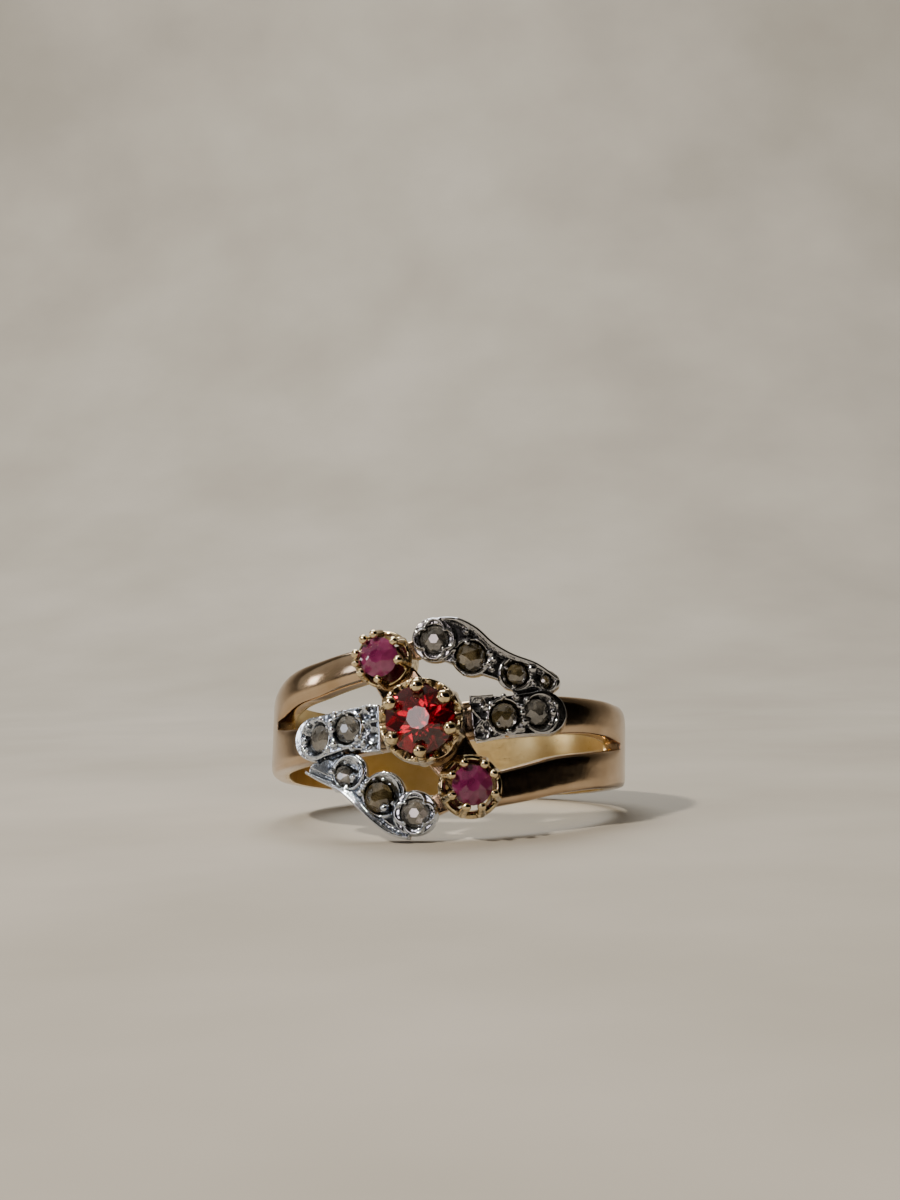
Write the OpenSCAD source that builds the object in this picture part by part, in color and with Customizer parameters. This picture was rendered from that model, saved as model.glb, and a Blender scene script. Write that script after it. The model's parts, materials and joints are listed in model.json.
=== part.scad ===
// Ruby bypass ring: a split gold band, three claw set rubies and two silver sprays of rose cut stones.
// Each piece is placed by its angle from the head, its height along the finger and its reach, which is
// its distance from the finger's centre line. The whole ring is then laid on its side, as it rests.

/* [Finger hole] */
// Radius of the hole for the finger
finger_r = 8.7; // [8.5:0.05:8.8]

/* [Band] */
// Outer radius of the band
band_r = 9.64; // [9.58:0.02:9.7]
// How far the outside is shifted towards the head, which makes the back thinner
band_shift = 0.12; // [0:0.02:0.16]
// Height of the closed back of the band
band_h = 4.3; // [4:0.1:4.6]

/* [Rubies] */
// Diameter of the centre ruby
centre_ruby_d = 3.4; // [3.2:0.05:3.4]
// Reach of the centre ruby's girdle
centre_ruby_reach = 12.1; // [12.05:0.01:12.2]
// Diameter of the two small rubies
small_ruby_d = 2.0; // [1.9:0.02:2.02]
// Reach of the small rubies' girdles
small_ruby_reach = 11.35; // [11.3:0.01:11.45]

/* [Silver] */
// Reach of the top of the two rows
row_top = 10.75; // [10.7:0.01:10.8]
// Reach of the top of the two leaves
leaf_top = 10.45; // [10.4:0.01:10.5]
// Reach of the raised outer ridge of the leaves
ridge_top = 10.62; // [10.55:0.01:10.7]
// Clear gap round each stone and under the silver
gap = 0.03; // [0.02:0.01:0.04]

/* [Rest] */
// How far the head is lifted when the ring lies on its side
rest_lift = 10.6; // [8:0.1:12]
// How far the ring rolls about its head when it lies on its side
rest_roll = 1.7; // [-2:0.1:3]
// Height of the finger hole's centre above the surface that the ring lies on
rest_height = 3.894; // [3:0.001:5]
// How far the finger hole's centre lies behind the middle of the ring's length
rest_back = 1.596; // [1:0.001:2]

/* [Hidden] */
$fn = 96;

// Columns of the arm tables
ANGLE = 0;
LOWER = 1;
UPPER = 2;

// The arms that end at a small ruby, from its collar to the side: angle, lower edge, upper edge
RIGHT_OUTER_ARM = [
    [20, -4.02, -2.25],
    [31, -3.63, -1.72],
    [42, -3.19, -1.22],
    [55, -2.82, -0.88],
    [66, -2.62, -0.62],
    [77, -2.42, -0.38],
];
LEFT_OUTER_ARM = [
    [20, -4.05, -2.28],
    [30, -3.83, -1.94],
    [40, -3.58, -1.61],
    [50, -3.40, -1.40],
    [58, -3.22, -1.10],
    [65, -3.00, -0.72],
];

// The arms that carry a row, from the centre setting to the side: angle, lower edge, upper edge
RIGHT_INNER_ARM = [
    [10, -0.75, 1.25],
    [22, -0.55, 1.60],
    [33, -0.35, 1.76],
    [43, -0.12, 1.87],
    [54, 0.06, 1.95],
    [66, 0.07, 2.02],
    [77, -0.06, 2.03],
];
LEFT_INNER_ARM = [
    [10, -0.75, 1.20],
    [22, -0.45, 1.45],
    [33, -0.20, 1.60],
    [44, -0.13, 1.71],
    [55, -0.20, 1.83],
    [65, -0.30, 1.90],
];

// The closed sides, from the end of the slot to the back: angle, lower edge, upper edge
RIGHT_SIDE = [
    [77, -2.42, 2.03],
    [90, -2.24, 2.12],
    [101, -2.16, 2.15],
];
LEFT_SIDE = [
    [65, -3.00, 1.90],
    [76, -2.66, 1.96],
    [90, -2.30, 2.07],
    [101, -2.16, 2.14],
];

// Columns of the stone tables
HEIGHT = 1;
REACH = 2;
DIA = 3;
RIM = 4;

// Rubies: angle, height, diameter, radius of the cup below. The upper one is placed with the ring half
// turned.
CUP = 3;
CENTRE_RUBY = [-0.5, 0, centre_ruby_d, 2.14];
LOWER_RUBY = [12.3, -3.08, small_ruby_d, 1.62];
UPPER_RUBY = [12.0, -3.18, small_ruby_d, 1.48];

// Turns of the claws about their rubies
CENTRE_CLAWS = [-17, 41, 95, 153, 218, 274];
LOWER_CLAWS = [29, 62, 114, 157, 208, 254, 293, 339];
UPPER_CLAWS = [16, 45, 95, 169, 221, 280, 310, 352];

// Row stones, from the fishtail outwards: angle, height, reach of the girdle, diameter, radius of silver
RIGHT_ROW = [
    [21.2, 0.42, 10.72, 1.36, 0.98],
    [30.6, 0.74, 10.72, 1.32, 1.02],
];
LEFT_ROW = [
    [22.3, 0.26, 10.72, 1.38, 0.98],
    [31.6, 0.68, 10.72, 1.36, 1.02],
];

// Leaf stones, from the collet to the tip: angle, height, reach of the girdle, diameter, radius of silver.
// Each leaf ends in rounds of silver, and widens in others: place across the band, place along the finger,
// radius.
RIGHT_LEAF = [
    [1.7, 4.17, 10.55, 1.46, 1.12],
    [11.9, 3.36, 10.42, 1.50, 0.98],
    [25.3, 2.63, 10.42, 1.10, 0.86],
    [34.0, 2.38, 10.42, 0.60, 0.56],
];
RIGHT_END = [[6.05, 2.40, 0.42]];
RIGHT_CUPS = [[4.15, 2.55, 0.76]];
LEFT_LEAF = [
    [2.4, 4.44, 10.55, 1.46, 1.12],
    [13.2, 3.65, 10.42, 1.50, 0.98],
    [24.3, 2.60, 10.42, 1.10, 0.80],
];
LEFT_END = [[4.30, 2.38, 0.76], [5.75, 2.26, 0.40]];
LEFT_CUPS = [[2.04, 3.53, 1.15], [3.85, 2.36, 0.90], [5.10, 2.22, 0.50]];

// Outer edge of each leaf, from the tip beside the collet to the tip at the row's end: its place across
// the band and along the finger
RIGHT_RIDGE = [
    [0.50, 5.30], [1.50, 5.28], [2.45, 4.82], [3.25, 4.12], [4.20, 3.60], [5.40, 3.22], [6.42, 2.55],
];
LEFT_RIDGE = [
    [0.76, 5.72], [1.70, 5.50], [2.60, 4.90], [3.45, 4.15], [4.40, 3.36], [5.40, 2.90], [6.38, 2.38],
];

// Silver plates: where the gold ends and the rows and leaves begin, and how far the gold back of a leaf stays
// inside its edge
gold_reach = band_r + band_shift;
plate_reach = gold_reach + gap;
leaf_reach = 9.75;
back_reach = 9.3;
back_inset = 0.06;

// Width of a leaf's outer ridge, depth of a stone's seat, and how far a row runs past its outer stone
ridge_w = 0.34;
seat_depth = 0.34;
row_end = 0.26;

// Lobes of a collet: how far out they stand, and their radius
lobe_out = 0.52;
lobe_r = 0.46;

// Corners of the fishtail end of each row, across the band and along the finger
RIGHT_TAIL = [[2.42, -0.90], [2.12, 1.38]];
LEFT_TAIL = [[2.34, -0.90], [2.18, 1.45]];

// How far behind the finger's centre the closed back begins, and a reach beyond the whole ring
back_start = 1.65;
far = 12;

// Settings, as radii and reaches
frame_inside = 9.0;
gallery_reach = 11.1;
claw_r = 0.25;
small_gallery_reach = 10.6;
small_claw_r = 0.17;

// Smooth rows between the rows of a table
function blend(a, b, c, d, t) =
    0.5 * (2 * b + (c - a) * t + (2 * a - 5 * b + 4 * c - d) * t * t + (3 * b - a - 3 * c + d) * t * t * t);
function smooth(rows, steps) = [
    for (i = [0 : len(rows) - 2], k = [0 : steps - 1])
        blend(rows[max(i - 1, 0)], rows[i], rows[i + 1], rows[min(i + 2, len(rows) - 1)], k / steps),
    rows[len(rows) - 1],
];
function reversed(rows) = [for (i = [len(rows) - 1 : -1 : 0]) rows[i]];
function unit(v) = v / norm(v);
function place(stone) = [stone[REACH] * sin(stone[ANGLE]), stone[HEIGHT]];

// Bench frame of a piece: x round the band, y along the finger and z away from the finger's centre line
module on_ring(angle, height = 0, reach = 0)
    rotate([0, 0, angle]) translate([0, -reach, height]) rotate([90, 0, 0]) children();

// The other half of the ring is the same half turned about the head
module half_turn() rotate([0, 180, 0]) children();

// Round shell about the finger, between two radii
module finger_shell(inner, outer, shift = 0) {
    difference() {
        translate([0, -shift, 0]) cylinder(r = outer, h = 14, center = true);
        cylinder(r = inner, h = 15, center = true);
    }
}

// Block between the lower and upper edges of an arm, drawn flat and square to the given angle
module arm(table, facing) {
    rows = smooth(table, 3);
    lower = [for (row = rows) [band_r * sin(row[ANGLE] - facing), row[LOWER]]];
    upper = [for (row = reversed(rows)) [band_r * sin(row[ANGLE] - facing), row[UPPER]]];
    on_ring(facing) linear_extrude(far) polygon(concat(lower, upper));
}

// A flat link between two round ends of their own radii, with its sides tangent to both
module link_outline(a, ra, b, rb) {
    d = norm(b - a);
    along = (b - a) / d;
    aside = [-along[1], along[0]];
    s = (ra - rb) / d;
    c = sqrt(1 - s * s);
    up = along * s + aside * c;
    down = along * s - aside * c;
    polygon([a + ra * up, a + ra * down, b + rb * down, b + rb * up]);
}

// Round gold band with its closed back, and the four arms
module band() {
    intersection() {
        finger_shell(finger_r, band_r, band_shift);
        union() {
            translate([-far, back_start, -band_h / 2]) cube([2 * far, far, band_h]);
            for (table = [RIGHT_OUTER_ARM, RIGHT_INNER_ARM, RIGHT_SIDE]) arm(table, 35);
            half_turn() {
                for (table = [LEFT_OUTER_ARM, LEFT_INNER_ARM]) arm(table, 20);
                arm(LEFT_SIDE, 50);
            }
        }
    }
}

// Claws round a stone: each rises past the girdle, then leans in to a ball tip over the stone's edge
module claws(turns, foot, knee, tip, thick, ball) {
    for (turn = turns) rotate([0, 0, turn]) {
        strut(foot, knee, thick);
        strut(knee, tip, thick * 0.8);
        translate([tip[0], 0, tip[1]]) sphere(r = ball, $fn = 24);
    }
}

// Straight bar between two places, each given as its distance from the setting's middle and its reach
module strut(from, to, thick) {
    run = to - from;
    translate([from[0], 0, from[1]]) rotate([0, atan2(run[0], run[1]), 0])
        cylinder(r = thick, h = norm(run) + thick * 0.3, $fn = 8);
}

// Turned open cup: it widens from its foot to a rim, then closes in to its crown, which is notched between
// the claws
module gallery(turns, foot_r, rim, crown, bore_r, notch) {
    difference() {
        rotate_extrude() polygon([
            [bore_r, frame_inside], [foot_r, frame_inside], rim - [0, 0.2], rim,
            crown, crown - [0.34, 0], [bore_r, crown[1] - 0.6],
        ]);
        for (i = [0 : len(turns) - 1]) {
            next = i < len(turns) - 1 ? turns[i + 1] : turns[0] + 360;
            share = (next - turns[i]) * len(turns) / 360;
            rotate([0, 0, (turns[i] + next) / 2]) translate([bore_r - 0.2, 0, crown[1] + 0.1])
                rotate([0, 90, 0]) cylinder(r = notch * share, h = rim[0], $fn = 12);
        }
    }
}

// Room for a ruby between its claws: the girdle and the slope of the crown, with a clear gap
module stone_room(d, reach) {
    r = d / 2 + gap;
    rotate_extrude() polygon([
        [0, reach - 0.19], [r, reach - 0.19], [r, reach + 0.07],
        [r * 0.4, reach + 0.07 + d * 0.2], [0, reach + d * 0.3],
    ]);
}

module centre_setting() {
    knee = [centre_ruby_d / 2 + gap + claw_r * 0.3, centre_ruby_reach + 0.1];
    on_ring(CENTRE_RUBY[ANGLE]) difference() {
        union() {
            gallery(CENTRE_CLAWS, 1.45, [CENTRE_RUBY[CUP], gallery_reach], [2.06, centre_ruby_reach - 0.2],
                    1.3, 0.55);
            claws(CENTRE_CLAWS, [CENTRE_RUBY[CUP] - claw_r, gallery_reach - 0.2], knee,
                  [1.58, centre_ruby_reach + 0.46], claw_r, 0.31);
        }
        stone_room(centre_ruby_d, centre_ruby_reach);
    }
}

module small_setting(ruby, turns) {
    knee = [small_ruby_d / 2 + gap + small_claw_r, small_ruby_reach + 0.04];
    on_ring(ruby[ANGLE], ruby[HEIGHT]) {
        gallery(turns, 1.3, [ruby[CUP], small_gallery_reach], [ruby[CUP] - 0.12, small_ruby_reach - 0.4],
                0.95, 0.3);
        claws(turns, [ruby[CUP] - small_claw_r, small_gallery_reach], knee,
              [1.13, small_ruby_reach + 0.28], small_claw_r, 0.21);
    }
}

// Gold links from a small setting to the centre setting and to the collet of the leaf beyond it
module links(ruby, leaf) {
    pink = [small_ruby_reach * sin(ruby[ANGLE]), ruby[HEIGHT]];
    intersection() {
        finger_shell(9.1, 10.1);
        on_ring(0) linear_extrude(far) link_outline(pink, 0.95, [0, 0], 1.35);
    }
    intersection() {
        finger_shell(9.15, leaf_reach - gap);
        on_ring(0) linear_extrude(far) link_outline(pink, 0.5, -place(leaf[0]), 0.5);
    }
}

// Flat outline of a leaf: a round of silver about each stone, and the sweep of its outer ridge
module leaf_solid(stones, end, cups, ridge, low, high, inset = 0) {
    curve = smooth(ridge, 4);
    rounds = concat([for (s = stones) concat(place(s), s[RIM])], end);
    intersection() {
        finger_shell(low, high);
        on_ring(0) union() {
            for (r = concat(rounds, cups))
                linear_extrude(far) translate([r[0], r[1]]) circle(r = r[2] - inset);
            for (i = [0 : len(rounds) - 2]) linear_extrude(far)
                link_outline([rounds[i][0], rounds[i][1]], rounds[i][2] * 0.7 - inset,
                             [rounds[i + 1][0], rounds[i + 1][1]], rounds[i + 1][2] * 0.7 - inset);
            linear_extrude(far) polygon(concat(curve, reversed([for (s = stones) place(s)])));
        }
    }
}

// Gold back under a leaf, a little smaller than the silver on it
module leaf_back(stones, end, cups, ridge)
    leaf_solid(stones, end, cups, ridge, back_reach, leaf_reach - gap, back_inset);

module ridge_solid(ridge, low, high, thick) {
    curve = smooth(ridge, 4);
    last = len(curve) - 1;
    inner = [for (i = [1 : last - 1])
        let (t = unit(curve[i + 1] - curve[i - 1]), fade = sin(180 * i / last))
            curve[i] + thick * (0.35 + 0.65 * fade) * [t[1], -t[0]]];
    intersection() {
        finger_shell(low, high);
        on_ring(0) linear_extrude(far) polygon(concat(curve, reversed(inner)));
    }
}

// Row of silver on an arm, with a fishtail towards the centre ruby
module row_solid(stones, tail) {
    a = place(stones[0]);
    b = place(stones[1]);
    intersection() {
        finger_shell(plate_reach, row_top);
        on_ring(0) union() {
            linear_extrude(far) translate(b + [row_end, 0]) circle(r = stones[1][RIM] + 0.08);
            linear_extrude(far) link_outline(a, stones[0][RIM], b + [row_end, 0], stones[1][RIM] + 0.04);
            linear_extrude(far) polygon(concat(tail, [a + [0, stones[0][RIM]], a - [0, stones[0][RIM]]]));
        }
    }
}

// Seats of the stones, open at the top and closed by silver below
module seats(stones) {
    for (s = stones) on_ring(s[ANGLE], s[HEIGHT], s[REACH] - seat_depth - gap)
        cylinder(d = s[DIA] + 2 * gap, h = 3, $fn = 48);
}

// Grains of silver raised beside a stone, at the given turns
module grains(stone, turns, size) {
    on_ring(stone[ANGLE], stone[HEIGHT], stone[REACH] + 0.02)
        for (turn = turns) rotate([0, 0, turn])
            translate([stone[DIA] / 2 + gap + size, 0, 0]) sphere(r = size, $fn = 20);
}

// Round collet with a four lobed rim
module collet(stone) {
    on_ring(stone[ANGLE], stone[HEIGHT]) difference() {
        translate([0, 0, leaf_reach + 0.1])
            cylinder(r = stone[RIM] - 0.02, h = ridge_top + 0.06 - leaf_reach);
        for (i = [0 : 3]) rotate([0, 0, 90 * i])
            translate([lobe_out, 0, stone[REACH] - 0.02]) cylinder(r = lobe_r, h = 3, $fn = 32);
    }
}

// Bridge of silver from the row's outer stone to the leaf
module bridge(row, leaf) {
    intersection() {
        finger_shell(plate_reach, leaf_top - 0.1);
        on_ring(0) linear_extrude(far) link_outline(place(row[1]), 0.8, place(leaf[2]), 0.6);
    }
}

module spray(row, tail, leaf, end, cups, ridge) {
    difference() {
        union() {
            row_solid(row, tail);
            bridge(row, leaf);
            leaf_solid(leaf, end, cups, ridge, leaf_reach, leaf_top);
            ridge_solid(ridge, leaf_reach + 0.1, ridge_top, ridge_w);
            collet(leaf[0]);
            for (stone = row) grains(stone, [40, 140, 220, 320], 0.15);
            for (i = [1, 2]) grains(leaf[i], [70, 160, 250, 340], 0.14);
        }
        seats(row);
        seats(leaf);
    }
}

module gold_frame() color("goldenrod") {
    union() {
        band();
        centre_setting();
        half_turn() leaf_back(LEFT_LEAF, LEFT_END, LEFT_CUPS, LEFT_RIDGE);
        leaf_back(RIGHT_LEAF, RIGHT_END, RIGHT_CUPS, RIGHT_RIDGE);
        small_setting(LOWER_RUBY, LOWER_CLAWS);
        half_turn() small_setting(UPPER_RUBY, UPPER_CLAWS);
        links(LOWER_RUBY, LEFT_LEAF);
        half_turn() links(UPPER_RUBY, RIGHT_LEAF);
    }
}

module right_spray() color("gray")
    spray(RIGHT_ROW, RIGHT_TAIL, RIGHT_LEAF, RIGHT_END, RIGHT_CUPS, RIGHT_RIDGE);
module left_spray() color("silver") half_turn()
    spray(LEFT_ROW, LEFT_TAIL, LEFT_LEAF, LEFT_END, LEFT_CUPS, LEFT_RIDGE);

// Round cut stone on a girdle at z = 0: a table, stars, kites and halves above it, and kites and halves
// below it down to a small culet, or a flat base where it has no pavilion
module cut_stone(d, sides, table, crown, pavilion, girdle = 0.06) {
    r = d / 2;
    table_r = r * table;
    star_r = (r + table_r) / 2 * 1.06;
    slope = crown / (r - table_r);
    star_z = girdle / 2 + (r - star_r * cos(180 / sides)) * slope;
    culet_r = r * 0.06;
    deep = pavilion > 0 ? pavilion / (r - culet_r) : 0;
    heart_r = r * 0.5;
    heart_z = -girdle / 2 - (r - heart_r * cos(180 / sides)) * deep;
    function ring(count, radius, z, turn) =
        [for (i = [0 : count - 1]) let (a = turn + i * 360 / count) [radius * cos(a), radius * sin(a), z]];
    half = 180 / sides;
    points = concat(
        ring(sides, table_r, girdle / 2 + crown, 0),
        ring(sides, star_r, star_z, half),
        ring(2 * sides, r, girdle / 2, 0),
        ring(2 * sides, r, -girdle / 2, 0),
        pavilion > 0 ? ring(sides, heart_r, heart_z, half) : [],
        pavilion > 0 ? ring(sides, culet_r, -girdle / 2 - pavilion, 0) : []
    );
    star = sides;
    top = 2 * sides;
    low = 4 * sides;
    heart = 6 * sides;
    culet = 7 * sides;
    crown_faces = concat(
        [[for (i = [0 : sides - 1]) sides - 1 - i]],
        [for (i = [0 : sides - 1]) let (n = (i + 1) % sides) [i, n, star + i]],
        [for (i = [0 : sides - 1]) let (b = (i + sides - 1) % sides) [i, star + i, top + 2 * i, star + b]],
        [for (i = [0 : sides - 1]) [star + i, top + 2 * i + 1, top + 2 * i]],
        [for (i = [0 : sides - 1]) [star + i, top + (2 * i + 2) % (2 * sides), top + 2 * i + 1]]
    );
    girdle_faces = [
        for (i = [0 : 2 * sides - 1]) let (n = (i + 1) % (2 * sides)) [top + i, top + n, low + n, low + i],
    ];
    pavilion_faces = concat(
        [for (i = [0 : sides - 1]) [heart + i, low + 2 * i, low + 2 * i + 1]],
        [for (i = [0 : sides - 1]) [heart + i, low + 2 * i + 1, low + (2 * i + 2) % (2 * sides)]],
        [for (i = [0 : sides - 1])
            let (b = (i + sides - 1) % sides) [culet + i, heart + b, low + 2 * i, heart + i]],
        [for (i = [0 : sides - 1]) let (n = (i + 1) % sides) [culet + i, heart + i, culet + n]],
        [[for (i = [0 : sides - 1]) culet + i]]
    );
    base_face = [[for (i = [0 : 2 * sides - 1]) low + i]];
    polyhedron(points, concat(crown_faces, girdle_faces, pavilion > 0 ? pavilion_faces : base_face));
}

module ruby(place, reach, turn) color("crimson")
    on_ring(place[ANGLE], place[HEIGHT], reach) rotate([0, 0, turn])
        cut_stone(place[2], 8, 0.34, place[2] * 0.19, place[2] * 0.42);

module rose(stone, turn) color("lightgray")
    on_ring(stone[ANGLE], stone[HEIGHT], stone[REACH] - seat_depth + 0.12) rotate([0, 0, turn])
        cut_stone(stone[DIA], 6, 0.34, stone[DIA] * 0.24, 0, 0.2);

// The ring lies on its side, on a leaf's tip and the low edge of its back
module laid_on_side()
    translate([0, rest_back, rest_height]) rotate([-rest_lift, rest_roll, 0]) children();

laid_on_side() gold_frame();
laid_on_side() right_spray();
laid_on_side() left_spray();
laid_on_side() ruby(CENTRE_RUBY, centre_ruby_reach, 11);  // centre_ruby
laid_on_side() half_turn() ruby(UPPER_RUBY, small_ruby_reach, 5);  // upper_ruby
laid_on_side() ruby(LOWER_RUBY, small_ruby_reach, 5);  // lower_ruby
for (i = [0 : len(RIGHT_ROW) - 1]) laid_on_side() rose(RIGHT_ROW[i], 20 * i);
for (i = [0 : len(RIGHT_LEAF) - 1]) laid_on_side() rose(RIGHT_LEAF[i], 20 * i);
for (i = [0 : len(LEFT_ROW) - 1]) laid_on_side() half_turn() rose(LEFT_ROW[i], 20 * i);
for (i = [0 : len(LEFT_LEAF) - 1]) laid_on_side() half_turn() rose(LEFT_LEAF[i], 20 * i);
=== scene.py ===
"""Looks of the ruby bypass ring: a split gold band, three claw set rubies and two silver sprays.

Every piece is made on a bench, in millimetres: the finger's axis is Z, the head of the ring is towards -Y,
and a place on the ring is its angle from the head, its height along the finger and its reach, which is its
distance from the axis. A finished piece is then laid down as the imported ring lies, in metres.
"""

import json
import logging
import math
import random
from dataclasses import dataclass, field
from enum import Enum

import bpy
import numpy as np
from mathutils import Matrix, Vector


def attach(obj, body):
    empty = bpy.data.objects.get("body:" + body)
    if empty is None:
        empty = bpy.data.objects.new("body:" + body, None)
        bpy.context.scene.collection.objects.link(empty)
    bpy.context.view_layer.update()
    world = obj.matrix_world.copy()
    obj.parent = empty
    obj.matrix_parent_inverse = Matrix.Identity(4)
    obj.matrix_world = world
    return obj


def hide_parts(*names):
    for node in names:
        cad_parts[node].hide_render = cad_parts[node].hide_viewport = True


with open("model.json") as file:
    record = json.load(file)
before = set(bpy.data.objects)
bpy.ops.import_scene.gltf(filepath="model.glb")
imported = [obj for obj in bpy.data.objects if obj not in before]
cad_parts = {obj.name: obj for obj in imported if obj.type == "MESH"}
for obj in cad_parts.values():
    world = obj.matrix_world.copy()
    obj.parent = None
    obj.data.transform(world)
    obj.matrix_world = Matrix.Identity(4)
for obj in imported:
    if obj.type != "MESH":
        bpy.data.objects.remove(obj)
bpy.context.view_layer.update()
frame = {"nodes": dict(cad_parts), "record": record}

log = logging.getLogger("ring")

MM = 0.001
Point = tuple[float, float]
Row = tuple[float, float, float]


def laid_pose() -> Matrix:
    """The ring's pose on the floor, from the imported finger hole.

    Returns:
        The matrix that takes a place on the bench, in millimetres, to its place in the frame, in metres.
    """
    bore = frame["record"]["mounts"][0]
    axis = Vector(bore["axis"]).normalized()
    lift = Matrix.Rotation(-math.asin(axis.y), 4, "X")
    roll = Matrix.Rotation(math.atan2(axis.x, axis.z), 4, "Y")
    return Matrix.Translation(bore["pos_m"]) @ roll @ lift @ Matrix.Scale(MM, 4)


LAID = laid_pose()


# ---------------------------------------------------------------- the bench


@dataclass(frozen=True)
class Seat:
    """A place on the ring: X goes round the band, Y along the finger and Z away from the finger's axis."""

    angle: float
    height: float = 0.0
    half_turned: bool = False

    def matrix(self, reach: float = 0.0) -> Matrix:
        """Gives the seat's pose on the bench.

        Args:
            reach: Distance from the finger's axis, in millimetres.

        Returns:
            The matrix from the seat's own directions to the bench.
        """
        out = Matrix.Rotation(math.radians(self.angle), 4, "Z")
        out = out @ Matrix.Translation((0, -reach, self.height)) @ Matrix.Rotation(math.radians(90), 4, "X")
        return Matrix.Rotation(math.pi, 4, "Y") @ out if self.half_turned else out


def pick(piece: bpy.types.Object) -> None:
    """Makes a piece the only selected one, in object mode.

    Args:
        piece: The object.
    """
    if bpy.context.object and bpy.context.object.mode != "OBJECT":
        bpy.ops.object.mode_set(mode="OBJECT")
    bpy.ops.object.select_all(action="DESELECT")
    piece.select_set(True)
    bpy.context.view_layer.objects.active = piece


def pick_faces(piece: bpy.types.Object, wanted: list[bool]) -> None:
    """Opens a piece in edit mode with only some of its faces selected.

    Args:
        piece: The object.
        wanted: Whether each face is selected.
    """
    pick(piece)
    bpy.ops.object.mode_set(mode="EDIT")
    bpy.ops.mesh.select_mode(type="FACE")
    bpy.ops.mesh.select_all(action="DESELECT")
    bpy.ops.object.mode_set(mode="OBJECT")
    for face, chosen in zip(piece.data.polygons, wanted):
        face.select = chosen
    bpy.ops.object.mode_set(mode="EDIT")


def turn_out() -> None:
    """Turns the faces of the piece in edit mode outwards, and leaves edit mode."""
    bpy.ops.mesh.select_all(action="SELECT")
    bpy.ops.mesh.normals_make_consistent(inside=False)
    bpy.ops.object.mode_set(mode="OBJECT")


def settle(piece: bpy.types.Object, matrix: Matrix | None = None) -> bpy.types.Object:
    """Moves a piece and puts its place into its mesh.

    Args:
        piece: The object.
        matrix: Where it goes, or None to keep it where it is.

    Returns:
        The same object.
    """
    if matrix is not None:
        piece.matrix_world = matrix @ piece.matrix_world
    pick(piece)
    bpy.ops.object.transform_apply(location=True, rotation=True, scale=True)
    return piece


def change(piece: bpy.types.Object, kind: str, **settings: object) -> None:
    """Adds a modifier to a piece and applies it.

    Args:
        piece: The object.
        kind: Blender's name of the modifier.
        settings: The modifier's settings.
    """
    pick(piece)
    modifier = piece.modifiers.new(kind.lower(), kind)
    for name, value in settings.items():
        setattr(modifier, name, value)
    bpy.ops.object.modifier_apply(modifier=modifier.name)


def joined(pieces: list[bpy.types.Object]) -> bpy.types.Object:
    """Joins pieces into one object.

    Args:
        pieces: The objects, of which the first stays.

    Returns:
        The joined object.
    """
    pick(pieces[0])
    for piece in pieces:
        piece.select_set(True)
    if len(pieces) > 1:
        bpy.ops.object.join()
    return bpy.context.object


def cut(piece: bpy.types.Object, cutters: list[bpy.types.Object], keep: str = "DIFFERENCE") -> None:
    """Cuts a piece with others, which are used up.

    Args:
        piece: The object that is cut.
        cutters: The objects that cut it.
        keep: DIFFERENCE to cut them away, INTERSECT to keep what lies in them.
    """
    tool = joined(cutters)
    change(piece, "BOOLEAN", operation=keep, object=tool, solver="EXACT", use_self=True)
    bpy.data.objects.remove(tool, do_unlink=True)


def cast(piece: bpy.types.Object, grain: float, rounds: int) -> None:
    """Makes one skin of joined parts, softened as cast and worn metal is.

    Args:
        piece: The object.
        grain: Size of the skin's squares, in millimetres.
        rounds: How often it is softened.
    """
    change(piece, "REMESH", mode="VOXEL", voxel_size=grain, adaptivity=0.0, use_smooth_shade=True)
    change(piece, "SMOOTH", factor=0.5, iterations=rounds)


def bar(start: Vector, end: Vector, thick: float, thin: float, sides: int = 16) -> bpy.types.Object:
    """Makes a straight tapered bar.

    Args:
        start: Middle of its thick end.
        end: Middle of its thin end.
        thick: Radius at the start.
        thin: Radius at the end.
        sides: Number of its sides.

    Returns:
        The bar.
    """
    run = Vector(end) - Vector(start)
    bpy.ops.mesh.primitive_cone_add(
        vertices=sides,
        radius1=thick,
        radius2=thin,
        depth=run.length,
        location=(Vector(start) + Vector(end)) / 2,
        rotation=run.to_track_quat("Z", "Y").to_euler(),
    )
    return settle(bpy.context.object)


def ball(middle: Vector, radius: float, flat: float = 1.0) -> bpy.types.Object:
    """Makes a ball.

    Args:
        middle: Its middle.
        radius: Its radius.
        flat: Its height as a share of its width.

    Returns:
        The ball.
    """
    bpy.ops.mesh.primitive_uv_sphere_add(
        segments=24, ring_count=14, radius=radius, location=middle, scale=(1, 1, flat)
    )
    return settle(bpy.context.object)


def hoop(middle: Vector, radius: float, thick: float) -> bpy.types.Object:
    """Makes a round wire hoop that lies flat.

    Args:
        middle: Its middle.
        radius: Radius of the wire's centre line.
        thick: Radius of the wire.

    Returns:
        The hoop.
    """
    bpy.ops.mesh.primitive_torus_add(
        location=middle, major_radius=radius, minor_radius=thick, major_segments=56, minor_segments=12
    )
    return settle(bpy.context.object)


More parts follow.
